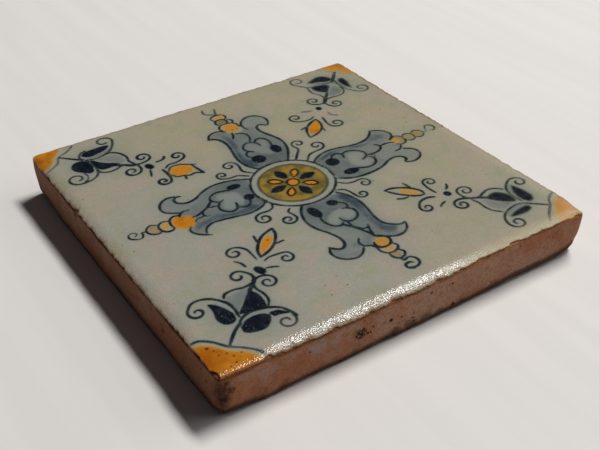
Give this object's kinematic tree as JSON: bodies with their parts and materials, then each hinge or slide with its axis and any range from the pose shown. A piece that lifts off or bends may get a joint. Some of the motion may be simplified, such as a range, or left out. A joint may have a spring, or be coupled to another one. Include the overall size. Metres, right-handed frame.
{
  "type": "glazed tile",
  "caption": "Thick square wall or floor tile in tin-glazed earthenware, with undercut clay sides and a painted petal star with corner sprays on a pale glaze.",
  "frame": {"origin": "centre of the bed face, the rough flat underside", "axes": "+Z out of the bed face towards the glazed face; +X and +Y along the sides, with +Y along the slightly longer one"},
  "size_m": [0.13, 0.132, 0.0153],
  "materials": {
    "clay": "matt, unglazed fired earthenware",
    "glaze": "glossy, slightly worn tin glaze",
    "wash_blue": "glossy, thin blue wash fired into the glaze",
    "dark_blue": "glossy, full-strength blue fired into the glaze",
    "orange": "glossy, ochre orange fired into the glaze",
    "yellow": "glossy, olive yellow fired into the glaze"
  },
  "bodies": {
    "root": {"clay_body": "clay", "glaze_coat": "glaze", "medallion_field": "yellow", "medallion_ring": "dark_blue", "petal_south": "wash_blue", "petal_east": "wash_blue", "petal_north": "wash_blue", "petal_west": "wash_blue", "beads_south": "orange", "beads_east": "orange", "beads_north": "orange", "beads_west": "orange", "leaves_south_west": "dark_blue", "leaves_south_east": "dark_blue", "leaves_north_east": "dark_blue", "leaves_north_west": "dark_blue", "dot_south_west": "dark_blue", "dot_south_east": "dark_blue", "dot_north_east": "dark_blue", "dot_north_west": "dark_blue", "bud_south_west": "orange", "bud_south_east": "orange", "bud_north_east": "orange", "bud_north_west": "orange", "fan_south_west": "orange", "fan_south_east": "orange", "fan_north_east": "orange", "fan_north_west": "orange"}
  },
  "joints": []
}
